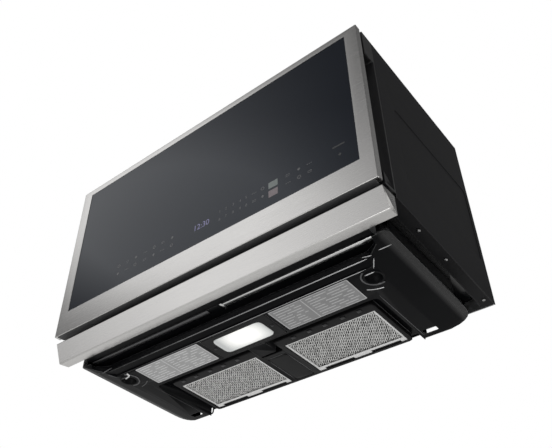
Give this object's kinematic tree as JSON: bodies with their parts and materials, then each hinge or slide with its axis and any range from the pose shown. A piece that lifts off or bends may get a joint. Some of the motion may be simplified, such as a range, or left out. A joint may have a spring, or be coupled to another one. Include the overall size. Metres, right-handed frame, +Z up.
{
  "type": "over-the-range microwave oven",
  "caption": "Over-the-range microwave: full-width glass door, slide-out vent bar, sloping tray with lamp and mesh grease filters, turntable cavity, blower.",
  "frame": {"origin": "middle of the rear face that meets the wall plate", "axes": "+Y towards the wall, -Y towards the cook, +X to the right seen from the front, +Z up"},
  "size_m": [0.759, 0.41, 0.4688],
  "materials": {
    "stainless": "brushed lengthways, fingerprint-resistant",
    "black_steel": "satin black powder coat",
    "black_plastic": "fine moulded grain",
    "black_glass": "tempered, printed black behind",
    "zinc": "galvanised sheet",
    "aluminium": "bare",
    "enamel": "smooth cavity enamel",
    "clear_glass": "clear",
    "mica": "mica sheet",
    "copper": "varnished windings and core",
    "board": "solder mask",
    "carbon": "charcoal",
    "white_plastic": "moulded"
  },
  "bodies": {
    "cabinet": {"rear_panel": "zinc", "left_side_panel": "black_steel", "right_side_panel": "black_steel", "top_panel": "black_steel", "front_bezel": "black_plastic", "chassis_floor": "black_steel", "cavity_liner": "enamel", "waveguide_cover": "mica", "waveguide": "zinc", "magnetron": "aluminium", "transformer": "copper", "capacitor": "aluminium", "power_board": "board", "fan_shroud": "white_plastic", "cavity_lamp": "clear_glass", "latch_keeper": "white_plastic", "turntable_motor": "zinc", "blower_housing": "zinc", "blower_motor": "aluminium", "top_grille": "black_plastic", "charcoal_filter": "carbon", "base_pan": "black_steel", "filter_carrier": "black_plastic", "lamp_housing": "white_plastic", "lamp_board": "board", "left_rail_guide": "zinc", "right_rail_guide": "zinc", "upper_hinge_bracket": "zinc", "lower_hinge_bracket": "zinc", "upper_hinge_pin": "stainless", "lower_hinge_pin": "stainless"},
    "door": {"door_frame": "stainless", "door_glass": "black_glass", "door_core": "black_plastic", "choke_cover": "black_plastic", "door_screen": "black_steel", "inner_window": "clear_glass", "touch_board": "board"},
    "latch": {"latch_hook": "black_plastic"},
    "vent_drawer": {"vent_bar": "stainless", "vent_plate": "black_steel", "left_slide": "zinc", "right_slide": "zinc"},
    "left_filter": {"left_filter_frame": "aluminium", "left_filter_mesh": "aluminium"},
    "right_filter": {"right_filter_frame": "aluminium", "right_filter_mesh": "aluminium"},
    "lamp_door": {"lamp_cover": "black_plastic", "lamp_lens": "clear_glass"},
    "turntable": {"glass_tray": "clear_glass", "drive_coupler": "white_plastic"},
    "ring": {"roller_ring": "white_plastic"},
    "roller_a": {"roller_1": "white_plastic"},
    "roller_b": {"roller_2": "white_plastic"},
    "roller_c": {"roller_3": "white_plastic"},
    "blower": {"left_blower_wheel": "zinc", "right_blower_wheel": "zinc"},
    "bay_fan": {"cooling_fan": "black_plastic"},
    "damper": {"damper_flap": "zinc"}
  },
  "joints": [
    {"name": "door_swing", "type": "hinge", "parent": "cabinet", "child": "door", "pos_m": [-0.375, -0.392, 0], "axis": [0, 0, -1], "range_deg": [0, 105]},
    {"name": "latch_rise", "type": "slide", "parent": "door", "child": "latch", "axis": [0, 0, 1], "range_m": [0, 0.005], "stiffness_N_per_m": 200, "springref_m": -0.004},
    {"name": "vent_slide", "type": "slide", "parent": "cabinet", "child": "vent_drawer", "axis": [0, -1, 0], "range_m": [0, 0.09]},
    {"name": "left_filter_drop", "type": "hinge", "parent": "cabinet", "child": "left_filter", "pos_m": [0, -0.1907, -0.2494], "axis": [-1, 0, 0], "range_deg": [0, 60]},
    {"name": "right_filter_drop", "type": "hinge", "parent": "cabinet", "child": "right_filter", "pos_m": [0, -0.1907, -0.2494], "axis": [-1, 0, 0], "range_deg": [0, 60]},
    {"name": "lamp_cover_swing", "type": "hinge", "parent": "cabinet", "child": "lamp_door", "pos_m": [0, -0.2375, -0.25535], "axis": [1, 0, 0], "range_deg": [0, 70]},
    {"name": "turntable_spin", "type": "hinge", "parent": "cabinet", "child": "turntable", "pos_m": [-0.07, -0.215, -0.12], "axis": [0, 0, 1], "continuous": true},
    {"name": "ring_roll", "type": "hinge", "parent": "cabinet", "child": "ring", "pos_m": [-0.07, -0.215, -0.1272], "axis": [0, 0, 1], "continuous": true},
    {"name": "roller_a_spin", "type": "hinge", "parent": "ring", "child": "roller_a", "pos_m": [0.022, -0.215, -0.1272], "axis": [1, 0, 0], "continuous": true},
    {"name": "roller_b_spin", "type": "hinge", "parent": "ring", "child": "roller_b", "pos_m": [-0.116, -0.13533, -0.1272], "axis": [-0.5, 0.866, 0], "continuous": true},
    {"name": "roller_c_spin", "type": "hinge", "parent": "ring", "child": "roller_c", "pos_m": [-0.116, -0.29467, -0.1272], "axis": [-0.5, -0.866, 0], "continuous": true},
    {"name": "blower_spin", "type": "hinge", "parent": "cabinet", "child": "blower", "pos_m": [0, -0.104, 0.166], "axis": [1, 0, 0], "continuous": true},
    {"name": "bay_fan_spin", "type": "hinge", "parent": "cabinet", "child": "bay_fan", "pos_m": [0.292, -0.032, -0.11], "axis": [0, 1, 0], "continuous": true},
    {"name": "damper_swing", "type": "hinge", "parent": "cabinet", "child": "damper", "pos_m": [0, -0.071, 0.204], "axis": [-1, 0, 0], "range_deg": [0, 80]}
  ],
  "couplings": [
    {"joint": "ring_roll", "follows": "turntable_spin", "ratio": 0.5},
    {"joint": "roller_a_spin", "follows": "turntable_spin", "ratio": -5.75},
    {"joint": "roller_b_spin", "follows": "turntable_spin", "ratio": -5.75},
    {"joint": "roller_c_spin", "follows": "turntable_spin", "ratio": -5.75}
  ]
}
